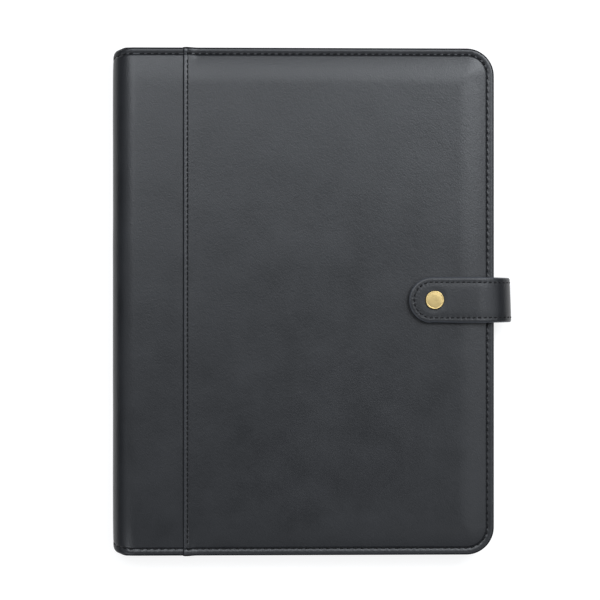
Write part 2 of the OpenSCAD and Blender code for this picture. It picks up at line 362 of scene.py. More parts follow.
def grained_leather(name, dark, light, rough, grain_mm, depth_mm, gloss):
    """Leather with pebbled grain, pores, soft creases and slightly uneven gloss.

    It is painted lighter where the mesh's point attribute asks: partly scuffing, partly a painted
    highlight on rounded edges.
    """
    g = Graph(name, Specular_IOR_Level=gloss)
    mottle = g.noise(26, detail=4, rough=0.55)
    grain = g.cells(grain_mm, "SMOOTH_F1", 0.6)
    fine = g.noise(grain_mm * 0.35, detail=4, rough=0.6)
    crease = g.noise(grain_mm * 4, detail=5, rough=0.65, distortion=0.6)
    tone = g.maths("ADD", g.ramp(mottle, 0.1, 0.6),
                   g.ramp(grain, 0.4, 0.0, 0.1, 0.8))
    # Painted lighter for scuffing and for a painted highlight on rounded edges
    worn_and_lit = g.node("ShaderNodeAttribute", attribute_name="wear_and_highlight").outputs["Fac"]
    colour = g.blend(worn_and_lit, g.blend(tone, dark, light), [WEAR_AND_HIGHLIGHT_GAIN * v for v in light])
    uneven = g.ramp(mottle, rough - 0.025, rough + 0.03)
    roughness = g.maths("ADD", uneven, g.ramp(fine, -0.04, 0.05))
    normal = g.bump(crease, depth_mm * 1.6)
    normal = g.bump(g.maths("MULTIPLY", grain, -1.0), depth_mm, normal)
    normal = g.bump(fine, depth_mm * 0.35, normal)
    return g.finish(colour, roughness, normal)


def waxed_thread():
    """Black thread with its twisted plies."""
    g = Graph("waxed_thread", Specular_IOR_Level=0.22)
    plies = g.wave(1.4, "DIAGONAL", 1.5)
    fuzz = g.noise(0.25, detail=3)
    colour = g.blend(plies, (0.003, 0.003, 0.0035), (0.009, 0.009, 0.010))
    return g.finish(colour, g.ramp(fuzz, 0.5, 0.68), g.bump(plies, 0.12))


def satin_brass():
    """Lacquered brass with fine turning marks."""
    g = Graph("satin_brass", Metallic=1.0)
    cloud = g.noise(3.0, detail=4)
    scratch = g.noise(0.12, detail=2)
    colour = g.blend(cloud, (0.56, 0.420, 0.182), (0.63, 0.475, 0.215))
    rough = g.maths("ADD", g.ramp(cloud, 0.30, 0.36),
                    g.ramp(scratch, 0.0, 0.05))
    return g.finish(colour, rough, g.bump(scratch, 0.001))


def grey_board():
    """Pressed board with fibres."""
    g = Graph("grey_board", Specular_IOR_Level=0.25)
    fibre = g.noise(0.8, detail=6, rough=0.7)
    patch = g.noise(9, detail=3)
    tone = g.maths("MULTIPLY", fibre, g.maths("ADD", patch, 0.5))
    colour = g.blend(tone, (0.20, 0.16, 0.12), (0.42, 0.35, 0.27))
    return g.finish(colour, g.ramp(fibre, 0.8, 0.95), g.bump(fibre, 0.05))


def ruled_paper():
    """Cream paper with faint blue rules across the page."""
    g = Graph("ruled_paper", Specular_IOR_Level=0.3)
    rule_pitch, rule_share, last_rule = 8.0 * MM, 0.035, 105 * MM
    y = g.node("ShaderNodeSeparateXYZ", {"Vector": g.place()}).outputs["Y"]
    line = g.maths("LESS_THAN", g.maths("FRACT", g.maths("DIVIDE", y, rule_pitch)), rule_share)
    page = g.maths("LESS_THAN", y, last_rule)
    facing = g.node("ShaderNodeNewGeometry").outputs["Normal"]
    up = g.node("ShaderNodeSeparateXYZ", {"Vector": facing}).outputs["Z"]
    on_top = g.maths("GREATER_THAN", g.maths("ABSOLUTE", up), 0.9)
    mask = g.maths("MULTIPLY", g.maths("MULTIPLY", line, page), on_top)
    fibre = g.noise(0.6, detail=5, rough=0.7)
    paper = g.blend(fibre, (0.74, 0.72, 0.64), (0.82, 0.80, 0.72))
    leaves = g.noise(0.12, detail=1.0, scale=(0.02, 0.02, 1))
    normal = g.bump(leaves, 0.05, g.bump(fibre, 0.01))
    return g.finish(g.blend(mask, paper, (0.30, 0.42, 0.62)),
                    g.ramp(fibre, 0.72, 0.85), normal)


def plain_finish(name, pattern, dark, light, rough, depth_mm=0.0, span=(0.3, 0.7), **sockets):
    """A material whose colour, roughness and bump all follow one pattern.

    span holds the pattern's values between which the roughness changes.
    """
    g = Graph(name, **sockets)
    value = pattern(g)
    normal = g.bump(value, depth_mm) if depth_mm else None
    return g.finish(g.blend(value, dark, light), g.ramp(value, *rough, *span), normal)


COVER = grained_leather("cover_leather", (0.0105, 0.0112, 0.0128), (0.0175, 0.0186, 0.0212),
                        0.34, 0.9, 0.038, 0.5)
INNER = grained_leather("lining_leather", (0.011, 0.011, 0.012), (0.020, 0.020, 0.022),
                        0.6, 0.6, 0.03, 0.4)
EDGE = plain_finish("edge_paint", lambda g: g.noise(1.6), (0.006, 0.006, 0.007),
                    (0.014, 0.014, 0.015), (0.65, 0.8), 0.06, Specular_IOR_Level=0.1)
THREAD = waxed_thread()
BRASS = satin_brass()
STEEL = plain_finish("spring_steel", lambda g: g.noise(0.3), (0.42, 0.42, 0.44),
                     (0.58, 0.58, 0.60), (0.25, 0.4), 0.01, Metallic=1.0)
BOARD = grey_board()
PAPER = ruled_paper()
TAPE = plain_finish(
    "woven_tape", lambda g: g.maths("MULTIPLY", g.wave(3, "X"), g.wave(3, "Y")),
    (0.020, 0.022, 0.030), (0.060, 0.064, 0.080), (0.65, 0.85), 0.08, (0, 1),
    Specular_IOR_Level=0.3, Sheen_Weight=0.25)
# A grey floor with light of its own, so that shadows stay faint and it looks white
FLOOR = plain_finish(
    "pale_floor", lambda g: g.noise(400, detail=2), (0.30, 0.30, 0.30), (0.32, 0.32, 0.32),
    (0.9, 0.95), 0.0, (0, 1), Specular_IOR_Level=0.0, Emission_Strength=0.83,
    Emission_Color=(1, 1, 1, 1))


def tie(obj, body, slot, *replaced):
    """Ties a finished piece to its body and hides the CAD nodes it stands for; the finish's name
    is not used.
    """
    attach(obj, body)
    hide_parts(*replaced)
    return obj


# ---- Outlines with rounded corners ----

class Outline:
    """Points along an outline with their outward normals and lengths."""

    def __init__(self, parts):
        self.points = np.concatenate([p for p, _ in parts])
        self.normals = np.concatenate([n for _, n in parts])
        self.length = length_along(self.points)

    def inset(self, distance):
        """The points moved in from the outline."""
        return self.points - distance * self.normals


def straight(a, b, pitch):
    """A straight run from a, without its end. The outside is to its right."""
    a, b = np.array(a, float), np.array(b, float)
    size = np.linalg.norm(b - a)
    t = steps(0, 1, pitch / size)[:-1]
    normal = np.array([b[1] - a[1], a[0] - b[0]]) / size
    return a + t[:, None] * (b - a), np.tile(normal, (len(t), 1))


def runs(points, pitch):
    """Straight runs from each point to the next."""
    return [straight(a, b, pitch) for a, b in zip(points[:-1], points[1:])]


def corner(centre, radius, start_deg, pitch, count=None):
    """A quarter arc, counter-clockwise, without its end."""
    count = count or max(3, int(round(radius * math.pi / 2 / pitch)))
    a = np.radians(start_deg + 90 * np.arange(count) / count)
    n = np.stack([np.cos(a), np.sin(a)], axis=1)
    return np.array(centre) + radius * n, n


def round_box(x0, x1, y0, y1, radii, pitch):
    """Closed outline; radii are for the corners (x1,y0), (x1,y1), (x0,y1), (x0,y0)."""
    a, b, c, d = radii
    return Outline([
        straight((x0 + d, y0), (x1 - a, y0), pitch),
        corner((x1 - a, y0 + a), a, -90, pitch),
        straight((x1, y0 + a), (x1, y1 - b), pitch),
        corner((x1 - b, y1 - b), b, 0, pitch),
        straight((x1 - b, y1), (x0 + c, y1), pitch),
        corner((x0 + c, y1 - c), c, 90, pitch),
        straight((x0, y1 - c), (x0, y0 + d), pitch),
        corner((x0 + d, y0 + d), d, 180, pitch),
    ])


# ---- The padded covers ----

# Distances from the edge, or from the seam, at which the leather's surface has points
RING_INSETS = [0, 0.15, 0.35, 0.6, PAINTED, 1.0, 1.15, 1.4, 1.7, 2.1, 2.5, 2.85, 3.15, 3.35,
               3.5, 3.65, 3.85, 4.1, 4.3, 4.5, 4.7, 4.9, 5.15, 5.5, 6.0, 6.7, 7.6, 8.7, 10.0,
               11.6, 13.4, 15.4]
SEAM_STEPS = [0, 0.15, 0.35, 0.6, PAINTED, 1.0, 1.2, 1.5, 1.9, 2.25, 2.5, 2.7, 2.9, 3.1,
              3.3, 3.55, 3.9, 4.4, 5.1, 6.0]
FIELD_PITCH = 1.1
LAP_RISE = 0.9               # how far the lapped leather lifts the flange beside the seam
LAP_BULGE = 0.35             # how far it makes the head and the tail stand out
PAD_FROM = 4.3               # where the padding begins, from the edge
PAD_STEP = 0.14              # share of its rise that comes at once
PAD_WIDE = 19.0              # width of the rest of the rise
BOARD_EDGE = 7.6             # where the leather turns up under the padding, round the board


def edge_distance(points):
    """Distance of points from the three sewn edges of a cover, measured in from them."""
    to_x = FORE_X - points[:, 0]
    to_y = HEAD_Y - np.abs(points[:, 1])
    in_corner = (to_x < CORNER_R) & (to_y < CORNER_R)
    round_off = CORNER_R - np.hypot(CORNER_R - to_x, CORNER_R - to_y)
    return np.where(in_corner, round_off, np.minimum(to_x, to_y))


def cover_highlight_and_wear(points):
    """The rounded edges and the ridge beside the seam are painted a little lighter than the rest:
    a painted highlight, with slight scuffing.
    """
    edge = np.minimum(edge_distance(points), 9.0)
    seam = points[:, 0] - SEAM_X
    return 0.35 * bump_at(edge, 0.8, 0.4) + 0.30 * bump_at(seam, 1.3, 0.7)


def lap_bulge(x):
    """How far the head and tail stand out where the panel laps over the spine wrap."""
    return LAP_BULGE * bump_at(x, SEAM_X + 2.2, 3.2)


def shoulder(d):
    """How far the padding has risen at a distance from the edge, 0 to 1.

    It swells up at once behind the stitches and then goes on gently.
    """
    t = np.clip((d - PAD_FROM - 0.3) / PAD_WIDE, 0, 1)
    at_once = PAD_STEP * smooth((d - PAD_FROM) / 1.1)
    return at_once + (1 - PAD_STEP) * (1 - (1 - t) ** 1.9)


def lap_lift(x):
    """How far the lapped leather lifts the flange at a place along it."""
    return LAP_RISE * (1 - smooth((x - SEAM_X - 5) / 5))


def stitch_inset(y):
    """Distance of the stitches from the edge: they run closer to it along the head."""
    return STITCH_INSET - HEAD_SHIFT * smooth((y - (HEAD_Y - 22)) / 16)


def sewn_edge(d, along, inset, pitch, deep, fold, inner=0.5):
    """Height of a sewn edge: painted corner, rounded bevel, and the valley of the stitches.

    The valley is wide towards the edge and narrow on the inner side, where the padding or
    the free leather comes up again. Its floor dips at every stitch.
    """
    painted = -0.45 * (1 - np.clip(d / PAINTED, 0, 1)) ** 1.5
    bevel = -0.32 * (1 - np.clip((d - 0.3) / 1.5, 0, 1)) ** 1.6
    width = np.where(d < inset, fold, inner)
    holes = 0.75 + 0.25 * np.cos(2 * math.pi * along / pitch)
    return painted + bevel - deep * holes * bump_at(d, inset, width)


def flange_shape(d, along, y):
    """The sewn edge of a cover."""
    return sewn_edge(d, along, stitch_inset(y), STITCH_PITCH, STITCH_SINK,
                     STITCH_FOLD)


class Cover:
    """One padded cover, drawn for the front and turned over for the back."""

    def __init__(self, side, crown, ripple):
        self.side = side
        self.crown = crown
        self.ripple = ripple

    def z(self, height):
        """Height over the front cover's top plane, on this cover's side."""
        return TOP_Z + height if self.side == "front" else -height

    def height(self, x, y, d, along):
        """Height of the leather over the plane of the padded field."""
        rise = shoulder(d)
        e = x - SEAM_X
        mid = (SEAM_X + FORE_X) / 2
        half = (FORE_X - SEAM_X) / 2
        dome = np.clip(1 - ((x - mid) / half) ** 2, 0, 1) * np.clip(1 - (y / HEAD_Y) ** 2, 0, 1)
        ripple = self.ripple * (wave(x, y, 55, 3.1) + 0.5 * wave(x, y, 21, 8.2))
        seam = sewn_edge(e, y, SEAM_INSET, SEAM_PITCH, SEAM_SINK, SEAM_FOLD)
        field = self.crown * dome + ripple * smooth(e / 12)
        low = -FLANGE_DROP + lap_lift(x) * (1 - rise)
        return low * (1 - rise) + field * rise + flange_shape(d, along, y) + seam

    def make(self, name, *replaced):
        """The outer leather: a closed shell with a sewn flange and a raised field."""
        x1, y1, r = FORE_X, HEAD_Y, CORNER_R
        arc = max(8, int(round(r * math.pi / 2 / FIELD_PITCH)))
        columns = SEAM_X + np.array(SEAM_STEPS)
        columns = np.concatenate([columns, steps(columns[-1], x1 - r, FIELD_PITCH)[1:]])
        bulge = lap_bulge(columns)
        low_run = np.column_stack([columns, -y1 - bulge])[:-1]
        high_run = np.column_stack([columns, y1 + bulge])[:0:-1]
        right = straight((x1, -y1 + r), (x1, y1 - r), FIELD_PITCH)
        path = Outline([
            (low_run, np.tile((0.0, -1.0), (len(low_run), 1))),
            corner((x1 - r, -y1 + r), r, -90, 1, arc), right,
            corner((x1 - r, y1 - r), r, 0, 1, arc),
            (high_run, np.tile((0.0, 1.0), (len(high_run), 1))),
            (np.array([[SEAM_X, y1 + bulge[0]]]), np.array([[0.0, 1.0]])),
        ])
        b = Build()
        rings = []
        for d in [*RING_INSETS, r]:
            p = path.inset(d)
            p[:, 1] -= np.sign(p[:, 1]) * lap_bulge(p[:, 0]) * smooth(d / r)
            h = self.height(p[:, 0], p[:, 1], np.full(len(p), d), path.length)
            rings.append(b.level(p, self.z(h)))
        b.grid(np.array(rings))
        rows = np.linspace(-y1 + r, y1 - r, len(right[0]) + 1)
        grid_x, grid_y = np.meshgrid(columns, rows)
        d = np.minimum(x1 - grid_x, y1 - np.abs(grid_y))
        h = self.height(grid_x, grid_y, d, np.zeros_like(d))
        inner = b.add(np.stack([grid_x, grid_y, self.z(h)], axis=-1))
        b.grid(inner)
        under = []
        for d, h in ((0.05, -FLANGE_LOW), (BOARD_EDGE, -FLANGE_LOW),
                     (BOARD_EDGE + 0.55, -BOARD_DEPTH)):
            under.append(b.level(path.inset(d), self.z(h)))
        b.quads(rings[0], under[0], slot=1, flip=True)
        b.grid(np.array(under))
        b.face(under[-1], flip=True)
        seam_side = [q[-1] for q in rings] + list(inner[::-1, 0]) + [q[0] for q in rings[::-1]]
        b.face(seam_side + [u[0] for u in under] + [u[-1] for u in under[::-1]], slot=1)
        b.paint(lambda p: (p[:, 0] < SEAM_X + 0.5 * PAINTED) | (edge_distance(p) < PAINTED))
        obj = b.make(name, COVER, EDGE, weld=0.002, wear_and_highlight=cover_highlight_and_wear)
        tie(obj, BODY[self.side], "cover_leather", *replaced)
        return path


# ---- Stitches ----

def stitches(b, places, along, normal, length, width, slant_deg=7.0, rise=0.42):
    """Adds one stitch at each place: a bowed cord whose ends go down into the leather."""
    stations = np.linspace(-1, 1, 9)
    turns = np.linspace(0, 2 * math.pi, 8, endpoint=False)
    for p, t, n in zip(places, along, normal):
        t, n = unit(t), unit(n)
        s = np.cross(n, t)
        a = math.radians(slant_deg + rng.normal(0, 1.2))
        t, s = math.cos(a) * t + math.sin(a) * s, math.cos(a) * s - math.sin(a) * t
        long = length * (1 + rng.normal(0, 0.02))
        rings = []
        for u in stations:
            r = width / 2 * (1 - 0.45 * abs(u) ** 5)
            lift = rise * (1 - abs(u) ** 2.6 * 1.7)
            c = p + t * (u * long / 2) + n * lift
            tip = np.outer(np.cos(turns) * r, s) + np.outer(np.sin(turns) * r * 0.75, n)
            rings.append(b.add(c + tip))
        b.tube(rings)


def spaced(total, pitch):
    """Middles of the stitches that fit on a line of the given length."""
    count = int(total // pitch)
    start = (total - count * pitch) / 2
    return start + pitch * (np.arange(count) + 0.5)


def on_path(points, at):
    """The points at given lengths along a row of points."""
    length = length_along(points)
    return np.stack([np.interp(at, length, column) for column in points.T], axis=1)


def stitch_places(line, pitch):
    """Places and directions of the stitches that fit on a line."""
    at = spaced(length_along(line)[-1], pitch)
    return on_path(line, at), on_path(line, at + 0.2) - on_path(line, at - 0.2)


def cover_stitches(cover, path, name, *replaced):
    """The edge stitches of a cover, and those of the seam over the spine wrap."""
    b = Build()
    up = (0, 0, UP[cover.side])

    def flat_run(line, turn, lift):
        place, ahead = stitch_places(line, STITCH_PITCH)
        z = cover.z(-FLANGE_DROP - STITCH_SINK + lift(place[:, 0]))
        flat = np.zeros((len(place), 1))
        stitches(b, np.column_stack([place, z]), np.hstack([ahead * turn, flat]),
                 np.tile(up, (len(place), 1)), STITCH_LONG, THREAD_W)

    flat_run(path.inset(stitch_inset(path.points[:, 1])[:, None]), 1, lap_lift)
    wrap_x = steps(ROLL_X + ROLL_EASE, SEAM_X - 1, 1.0)
    for sign in (-1, 1):
        y = sign * HEAD_Y
        line = np.column_stack([wrap_x, np.full(len(wrap_x), y - sign * stitch_inset(y))])
        flat_run(line, -sign, np.zeros_like)
    tie(b.make(name, THREAD), BODY[cover.side], "thread", *replaced[:1])
    b = Build()
    reach = HEAD_Y - STITCH_INSET - 3
    y = spaced(2 * reach, SEAM_PITCH) - reach
    d = HEAD_Y - np.abs(y)
    x = np.full(len(y), SEAM_X + SEAM_INSET)
    z = cover.z(cover.height(x, y, d, np.zeros(len(y))) - 0.05)
    run = np.column_stack([x, y, z])
    stitches(b, run, np.gradient(run, axis=0), np.tile(up, (len(y), 1)), SEAM_LONG,
             SEAM_THREAD_W, slant_deg=8, rise=0.30)
    seam = b.make(name.replace("edge", "seam"), THREAD)
    tie(seam, BODY[cover.side], "thread", *replaced[1:])


# ---- The rolled spine ----

def roll_path(radius, x_end, pitch, ease):
    """Half of the spine's section, from its middle over the roll and along the cover.

    The roll is a quarter of an ellipse, wider than it is high by ease. Gives points and
    normals in X and Z with the roll's axis as origin, and how far round each point is,
    from 1 at the middle to 0 on the flat.
    """
    wide = radius + ease
    count = max(6, int(round((radius + wide) * math.pi / 4 / pitch)))
    turn = np.radians(90 * np.arange(count + 1) / count)[::-1]
    x, z = ease - wide * np.sin(turn), radius * np.cos(turn)
    nx, nz = unit(np.column_stack([-np.sin(turn) / wide, np.cos(turn) / radius])).T
    flat = steps(ease, x_end - ROLL_X, 1.1)[1:]
    x = np.concatenate([x, flat])
    z = np.concatenate([z, np.full(len(flat), radius)])
    nx = np.concatenate([nx, np.zeros(len(flat))])
    nz = np.concatenate([nz, np.ones(len(flat))])
    share = np.concatenate([turn / (math.pi / 2), np.zeros(len(flat))])
    return x, z, nx, nz, share


def spread_y():
    """Values of Y along the spine, close together near the sewn ends."""
    near = np.array(RING_INSETS)
    middle = steps(-(HEAD_Y - 19), HEAD_Y - 19, 4.0)
    return np.concatenate([near - HEAD_Y, middle, (HEAD_Y - near)[::-1]])


TAPER = 2.9                  # how far the ends of the roll are drawn in round the bend,
TAPER_TIP = 2.4              # how much further at its middle,
TAPER_LONG = 34.0            # and how far from the end this begins


def end_taper(share, y):
    """How far the sewn end of the roll is drawn in."""
    slope = TAPER * np.clip((share - 0.18) / 0.82, 0, 1) ** 1.15
    near_end = smooth((np.abs(y) - (HEAD_Y - TAPER_LONG)) / TAPER_LONG)
    return (slope + TAPER_TIP * share ** 9) * near_end


def roll_surface(side, radius, x_end, drop, pitch, ease=0.0):
    """Points of a layer of the spine as a grid, section by length."""
    x, z, nx, nz, share = roll_path(radius, x_end, pitch, ease)
    grid_share, grid_y = np.meshgrid(share, spread_y(), indexing="ij")
    d = HEAD_Y - np.abs(grid_y)
    sink = drop(d, np.broadcast_to(x[:, None], d.shape), grid_y, grid_share)
    px = x[:, None] + nx[:, None] * sink
    pz = z[:, None] + nz[:, None] * sink
    py = grid_y - np.sign(grid_y) * end_taper(grid_share, grid_y)
    return np.stack([ROLL_X + px, py, MID_Z + UP[side] * pz], axis=-1)


def roll_drop(share):
    """How far the sewn end of the wrap lies below the roll: less round the middle."""
    return (FLANGE_DROP - LEATHER_T) * (1 - 0.8 * share ** 1.5)


def wrap_drop(d, x, y, share):
    """Height of the spine wrap's leather over its smooth roll."""
    low = -roll_drop(share)
    ripple = 0.10 * wave(x, y, 30, 5.5) * smooth(d / 20)
    return low * (1 - shoulder(d)) + flange_shape(d, x, y) + ripple


def sheet_between(b, outer, inner, slot_edge=1):
    """A closed sheet between two grids of points of the same shape."""
    a, c = b.add(outer), b.add(inner)
    b.grid(a)
    b.grid(c, flip=True)
    for run_a, run_c in ((a[0], c[0]), (a[-1], c[-1]), (a[:, 0], c[:, 0]), (a[:, -1], c[:, -1])):
        b.quads(run_a, run_c, slot=slot_edge)


def blend_roll(obj, side, radius, slot, *replaced):
    """Hides the CAD nodes that a half of the spine stands for, and bakes the half's placing into
    its mesh.
    """
    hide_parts(*replaced)
    if side == "front":
        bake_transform(obj)
    else:
        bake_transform(obj)


def spine_wrap(side, *replaced):
    """Half of the strip of leather round the spine, sewn under the outer panel's edge."""
    x_end = SEAM_X + 2.5
    outer = roll_surface(side, ROLL_R, x_end, wrap_drop, 0.6, ROLL_EASE)
    inner = roll_surface(
        side, ROLL_R, x_end,
        lambda d, x, y, share: wrap_drop(d, x, y, share) * 0.9 - LEATHER_T, 0.6, ROLL_EASE)
    b = Build()
    sheet_between(b, outer, inner)
    b.paint(lambda p: HEAD_Y - np.abs(p[:, 1]) < PAINTED)
    obj = b.make(f"spine_wrap_leather_{side}", COVER, EDGE)
    blend_roll(obj, side, ROLL_HINGE_R, "cover_leather", *replaced)


def spine_stitches(side, *replaced):
    """The edge stitches that go round the ends of the roll."""
    share = np.linspace(1, 0, 80)
    turn = share * math.pi / 2
    wide = ROLL_R + ROLL_EASE
    sunk = roll_drop(share) + STITCH_SINK
    nx, nz = unit(np.column_stack([np.sin(turn) / wide, np.cos(turn) / ROLL_R])).T
    up = UP[side]
    b = Build()
    for sign in (-1, 1):
        y = sign * HEAD_Y
        y -= sign * stitch_inset(y)
        run = np.column_stack([
            ROLL_X + ROLL_EASE - wide * np.sin(turn) + sunk * nx,
            y - sign * end_taper(share, y),
            MID_Z + up * (ROLL_R * np.cos(turn) - sunk * nz),
        ])
        place, ahead = stitch_places(run, STITCH_PITCH)
        out = place - np.array([ROLL_X + ROLL_EASE * 0.5, 0, MID_Z])
        out[:, 1] = 0
        stitches(b, place, ahead * -sign * up, out, STITCH_LONG, THREAD_W)
    blend_roll(b.make(f"spine_stitches_{side}", THREAD), side, ROLL_HINGE_R, "thread", *replaced)


def spine_lining(side, x_end, *replaced):
    """Half of the lining inside the spine, tucked under the pocket or the sleeve."""
    def creased(d, x, y, share):
        folds = 0.12 * wave(x, y, 14, 2.2) * smooth(d / 12)
        return folds - 0.25 * bump_at(d, 0, 0.5) - LINING_T
    outer = roll_surface(side, ROLL_LINING_R, x_end, lambda d, x, y, share: 0 * d - 0.02, 0.6)
    inner = roll_surface(side, ROLL_LINING_R, x_end, creased, 0.6)
    b = Build()
    sheet_between(b, outer, inner)
    obj = b.make(f"spine_lining_{side}_half", INNER, EDGE)
    blend_roll(obj, side, ROLL_LINING_R - LINING_T, "lining_leather", *replaced)


# ---- Flat leather, board and paper with shaped edges ----

def leaf(name, outline, z0, z1, body, node, crease=1.6, edge_r=0.3):
    """A flat sheet of lining leather with rounded edges and a creased line round its face.

    z0 is the face that it is glued down by and z1 its free face, which may be the lower.
    """
    up = 1.0 if z1 > z0 else -1.0
    t = abs(z1 - z0)
    b = Build()
    rows = [(0.0, 0.0), (0.0, t - edge_r), (edge_r * 0.3, t - edge_r * 0.3), (edge_r, t)]
    if crease:
        rows += [(crease - 0.35, t), (crease, t - 0.12), (crease + 0.35, t)]
    rows.append((rows[-1][0] + 0.6, t))     # keeps the shading of the big flat face clean
    rings = [b.level(outline.inset(d), z0 + up * h) for d, h in rows]
    b.quads(rings[0], rings[1], slot=1, closed=True)
    b.grid(np.array(rings[1:]), closed=True)
    b.face(rings[-1])
    b.face(rings[0], slot=1, flip=True)
    tie(b.make(name, INNER, EDGE), body, "lining_leather", node)


def run_of_stitches(b, points, normal, pitch=3.2, length=2.4, width=0.7, rise=0.25):
    """Stitches along a line with corners, on a flat face."""
    points = np.array(points, float)
    for a, c in zip(points[:-1], points[1:]):
        run = np.linalg.norm(c - a)
        at = spaced(run, pitch)
        place = a + (c - a) * (at / run)[:, None]
        stitches(b, place, np.tile(c - a, (len(at), 1)), np.tile(normal, (len(at), 1)),
                 length, width, slant_deg=6, rise=rise)


def lining_plates():
    """The inside lining of each cover, outside the pieces that are sewn on to it."""
    for side, start in (("back", LINING_JOIN_BACK), ("front", LINING_JOIN_FRONT)):
        shape = round_box(start, FORE_X, -HEAD_Y, HEAD_Y, (CORNER_R, CORNER_R, 0.6, 0.6), 1.5)
        glued, free = FLANGE_LOW, FLANGE_LOW + LINING_T
        if side == "front":
            glued, free = TOP_Z - glued, TOP_Z - free
        leaf(f"{side}_lining_leather", shape, glued, free, BODY[side], f"{side}_lining",
             crease=0, edge_r=0.2)


def pocket_stitches(name, low, high, inset, gap, *replaced):
    """Stitches along a pocket's sides and its tail, which end at a gap from its mouth."""
    b = Build()
    x0, x1, y0, y1, z = low[0] + inset, high[0] - inset, low[1] + inset, high[1] - gap, low[2]
    run_of_stitches(b, [(x0, y1, z), (x0, y0, z), (x1, y0, z), (x1, y1, z)], (0, 0, -1))
    tie(b.make(name, THREAD), "front", "thread", *replaced)


def pockets():
    """The document pocket, the card slots and their stitches, and the note pocket."""
    low, high = box_mm("document_pocket")
    shape = round_box(low[0], FORE_X, -HEAD_Y, HEAD_Y, (CORNER_R, CORNER_R, 1, 1), 1.5)
    leaf("document_pocket_leather", shape, high[2], low[2], "front", "document_pocket")
    for k in (1, 2, 3):
        node = f"card_slot_{k}"
        low, high = box_mm(node)
        shape = round_box(low[0], high[0], low[1], high[1], (1, 4, 4, 1), 0.8)
        leaf(f"{node}_leather", shape, high[2], low[2], "front", node)
    pocket_stitches("card_slot_stitches", low, high, 2.2, 2, "card_slot_thread")

    low, high = box_mm("note_pocket")
    notch_w, notch_deep = 18.0, 14.0
    mid = (low[0] + high[0]) / 2
    box = round_box(low[0], high[0], low[1], high[1], (3, 3, 3, 3), 0.8)
    x, y = box.points[:, 0], box.points[:, 1]
    dip = notch_deep * np.cos(np.clip((x - mid) / notch_w, -1, 1) * math.pi / 2) ** 2
    y = np.where(y > high[1] - 0.01, y - dip, y)
    shape = Outline([(np.column_stack([x, y]), box.normals)])
    around = unit(np.roll(shape.points, -1, axis=0) - np.roll(shape.points, 1, axis=0))
    shape.normals = np.column_stack([around[:, 1], -around[:, 0]])
    leaf("note_pocket_leather", shape, high[2], low[2], "front", "note_pocket")
    pocket_stitches("note_pocket_stitches", low, high, 2.4, 3)


def pad_sleeve():
    """The pad's sleeve: a sewn rim and a raised field, open towards the head."""
    low, high = box_mm("pad_sleeve")
    t = LINING_T
    rim_z = low[2] + t
    board_low, board_high = box_mm("pad_board")
    play = 1.0
    x0, x1 = board_low[0] - play - t, board_high[0] + play + t
    y0, y1 = board_low[1] - play - t, high[1] + 0.4
    r = 4.0
    pitch = 1.5
    arc_x, arc_y, mouth_y = FORE_X - CORNER_R, CORNER_R - HEAD_Y, high[1]
    rim = Outline([
        straight((low[0], -HEAD_Y), (arc_x, -HEAD_Y), pitch),
        corner((arc_x, arc_y), CORNER_R, -90, pitch),
        *runs([(FORE_X, arc_y), (FORE_X, mouth_y), (x1 - t, mouth_y), (x1 - t, y0 + t),
               (x0 + t, y0 + t), (x0 + t, mouth_y), (low[0], mouth_y), (low[0], -HEAD_Y)],
              pitch),
    ])
    leaf("pad_sleeve_rim", rim, low[2], rim_z, "root", "pad_sleeve", crease=0, edge_r=0.25)

    path = Outline([
        straight((x0, y1), (x0, y0 + r), pitch),
        corner((x0 + r, y0 + r), r, 180, pitch, 6),
        straight((x0 + r, y0), (x1 - r, y0), pitch),
        corner((x1 - r, y0 + r), r, -90, pitch, 6),
        straight((x1, y0 + r), (x1, y1), pitch),
        (np.array([[x1, y1]]), np.array([[1.0, 0.0]])),
    ])
    outer = [(-0.5, rim_z), (0, rim_z + 0.5), (0.15, high[2] - 0.45), (0.5, high[2] - 0.12),
             (1.0, high[2]), (2.2, high[2]), (2.6, high[2] - 0.12), (3.0, high[2])]
    inner = [(t, low[2] + 0.1), (t, high[2] - t - 0.3), (t + 0.3, high[2] - t)]
    b = Build()
    rows = [b.level(path.inset(d), z) for d, z in outer]
    hollow = [b.level(path.inset(d), z) for d, z in inner]
    b.grid(np.array(rows))
    b.grid(np.array(hollow), flip=True)
    b.face(rows[-1])
    b.face(hollow[-1], flip=True)
    b.quads(rows[0], hollow[0], slot=1)
    mouth = [q[0] for q in rows] + [q[-1] for q in rows[::-1]]
    b.face(mouth + [q[-1] for q in hollow] + [q[0] for q in hollow[::-1]], slot=1)
    tie(b.make("pad_sleeve_field", INNER, EDGE), "root", "lining_leather")

    b = Build()
    left, right, tail = (low[0] + x0) / 2, (x1 + FORE_X) / 2 - 1, (y0 - HEAD_Y) / 2
    sewn = [(left, y1 - 2), (left, tail), (right, tail), (right, y1 - 2)]
    run_of_stitches(b, [(x, y, rim_z) for x, y in sewn], (0, 0, 1))
    tie(b.make("pad_sleeve_stitches", THREAD), "root", "thread")


def ribbon(b, x, z, y0, y1, thick, round_ends=0.25):
    """A strip of leather that follows a line in X and Z, from y0 to y1."""
    line = np.column_stack([x, z])
    along = unit(np.gradient(line, axis=0))
    out = np.column_stack([-along[:, 1], along[:, 0]])
    half = thick / 2
    e = round_ends
    section = [(y0, -half + e), (y0 + e, -half), (y1 - e, -half), (y1, -half + e),
               (y1, half - e), (y1 - e, half), (y0 + e, half), (y0, half - e)]
    rows = []
    for y, offset in section:
        p = line + offset * out
        rows.append(b.add(np.column_stack([p[:, 0], np.full(len(p), y), p[:, 1]])))
    b.tube(np.array(rows).T, flip=True)


